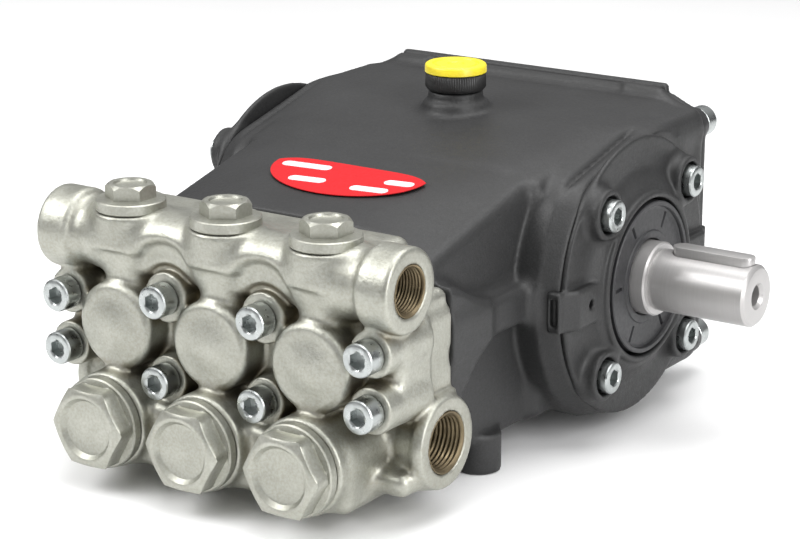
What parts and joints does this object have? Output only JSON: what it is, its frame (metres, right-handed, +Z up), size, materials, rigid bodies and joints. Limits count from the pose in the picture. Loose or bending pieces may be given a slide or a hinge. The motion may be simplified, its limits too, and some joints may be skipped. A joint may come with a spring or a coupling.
{
  "type": "pressure washer pump",
  "caption": "Triplex plunger pump for a pressure washer: nickel-plated valve manifold with threaded side ports on a dark painted crankcase, keyed drive shaft to one side.",
  "frame": {"origin": "centre of the bounding box in plan, at the level the feet stand on", "axes": "+X out of the drive shaft, +Y from the manifold to the rear cover, +Z up"},
  "size_m": [0.2406, 0.2626, 0.1398],
  "materials": {
    "nickel": "warm satin nickel over a cast skin",
    "paint": "fine-textured matt dark grey paint",
    "zinc": "bright zinc plate",
    "steel": "ground steel",
    "iron": "machined iron",
    "ceramic": "polished",
    "rubber": "matt black",
    "brass": "machined",
    "yellow": "moulded",
    "red": "printed film",
    "glass": "clear plastic"
  },
  "bodies": {
    "housing": {"manifold": "nickel", "outlet_cap_1": "nickel", "inlet_plug_1": "nickel", "packing_1": "brass", "outlet_cap_2": "nickel", "inlet_plug_2": "nickel", "packing_2": "brass", "outlet_cap_3": "nickel", "inlet_plug_3": "nickel", "packing_3": "brass", "crankcase": "paint", "rear_cover": "paint", "bearing_flange_right": "paint", "bearing_flange_left": "paint", "head_screw_1": "zinc", "head_screw_2": "zinc", "head_screw_3": "zinc", "head_screw_4": "zinc", "head_screw_5": "zinc", "head_screw_6": "zinc", "head_screw_7": "zinc", "head_screw_8": "zinc", "flange_screw_right_1": "zinc", "flange_screw_left_1": "zinc", "cover_screw_1": "zinc", "flange_screw_right_2": "zinc", "flange_screw_left_2": "zinc", "cover_screw_2": "zinc", "flange_screw_right_3": "zinc", "flange_screw_left_3": "zinc", "cover_screw_3": "zinc", "flange_screw_right_4": "zinc", "flange_screw_left_4": "zinc", "cover_screw_4": "zinc", "bearing_right": "steel", "bearing_left": "steel", "shaft_seal": "rubber", "label": "red", "sight_glass": "glass"},
    "crank": {"crankshaft": "steel", "shaft_key": "steel"},
    "filler": {"filler_cap": "yellow"},
    "rod_1": {"connecting_rod_1": "iron", "wrist_pin_1": "steel"},
    "piston_1": {"guide_1": "iron", "plunger_1": "ceramic"},
    "inlet_valve_1": {"inlet_valve_1": "steel"},
    "outlet_valve_1": {"outlet_valve_1": "steel"},
    "rod_2": {"connecting_rod_2": "iron", "wrist_pin_2": "steel"},
    "piston_2": {"guide_2": "iron", "plunger_2": "ceramic"},
    "inlet_valve_2": {"inlet_valve_2": "steel"},
    "outlet_valve_2": {"outlet_valve_2": "steel"},
    "rod_3": {"connecting_rod_3": "iron", "wrist_pin_3": "steel"},
    "piston_3": {"guide_3": "iron", "plunger_3": "ceramic"},
    "inlet_valve_3": {"inlet_valve_3": "steel"},
    "outlet_valve_3": {"outlet_valve_3": "steel"}
  },
  "joints": [
    {"name": "crank_spin", "type": "hinge", "parent": "housing", "child": "crank", "pos_m": [-0.02225, 0.0533, 0.0635], "axis": [1, 0, 0], "continuous": true},
    {"name": "rod_hinge_1", "type": "hinge", "parent": "crank", "child": "rod_1", "pos_m": [-0.06765, 0.0593, 0.0635], "axis": [1, 0, 0], "continuous": true},
    {"name": "piston_slide_1", "type": "slide", "parent": "housing", "child": "piston_1", "axis": [0, 1, 0], "range_m": [-0.012, 0]},
    {"name": "inlet_valve_slide_1", "type": "slide", "parent": "housing", "child": "inlet_valve_1", "axis": [0, -1, 0], "range_m": [0, 0.0025], "stiffness_N_per_m": 200},
    {"name": "outlet_valve_slide_1", "type": "slide", "parent": "housing", "child": "outlet_valve_1", "axis": [0, 0, 1], "range_m": [0, 0.0025], "stiffness_N_per_m": 200},
    {"name": "rod_hinge_2", "type": "hinge", "parent": "crank", "child": "rod_2", "pos_m": [-0.02225, 0.0503, 0.0687], "axis": [1, 0, 0], "continuous": true},
    {"name": "piston_slide_2", "type": "slide", "parent": "housing", "child": "piston_2", "axis": [0, 1, 0], "range_m": [-0.003, 0.009]},
    {"name": "inlet_valve_slide_2", "type": "slide", "parent": "housing", "child": "inlet_valve_2", "axis": [0, -1, 0], "range_m": [0, 0.0025], "stiffness_N_per_m": 200},
    {"name": "outlet_valve_slide_2", "type": "slide", "parent": "housing", "child": "outlet_valve_2", "axis": [0, 0, 1], "range_m": [0, 0.0025], "stiffness_N_per_m": 200},
    {"name": "rod_hinge_3", "type": "hinge", "parent": "crank", "child": "rod_3", "pos_m": [0.02315, 0.0503, 0.0583], "axis": [1, 0, 0], "continuous": true},
    {"name": "piston_slide_3", "type": "slide", "parent": "housing", "child": "piston_3", "axis": [0, 1, 0], "range_m": [-0.003, 0.009]},
    {"name": "inlet_valve_slide_3", "type": "slide", "parent": "housing", "child": "inlet_valve_3", "axis": [0, -1, 0], "range_m": [0, 0.0025], "stiffness_N_per_m": 200},
    {"name": "outlet_valve_slide_3", "type": "slide", "parent": "housing", "child": "outlet_valve_3", "axis": [0, 0, 1], "range_m": [0, 0.0025], "stiffness_N_per_m": 200},
    {"name": "filler_lift", "type": "slide", "parent": "housing", "child": "filler", "axis": [0, 0, 1], "range_m": [0, 0.025]}
  ],
  "couplings": [
    {"joint": "rod_hinge_1", "follows": "crank_spin", "ratio": -1},
    {"joint": "rod_hinge_2", "follows": "crank_spin", "ratio": -1},
    {"joint": "rod_hinge_3", "follows": "crank_spin", "ratio": -1}
  ]
}
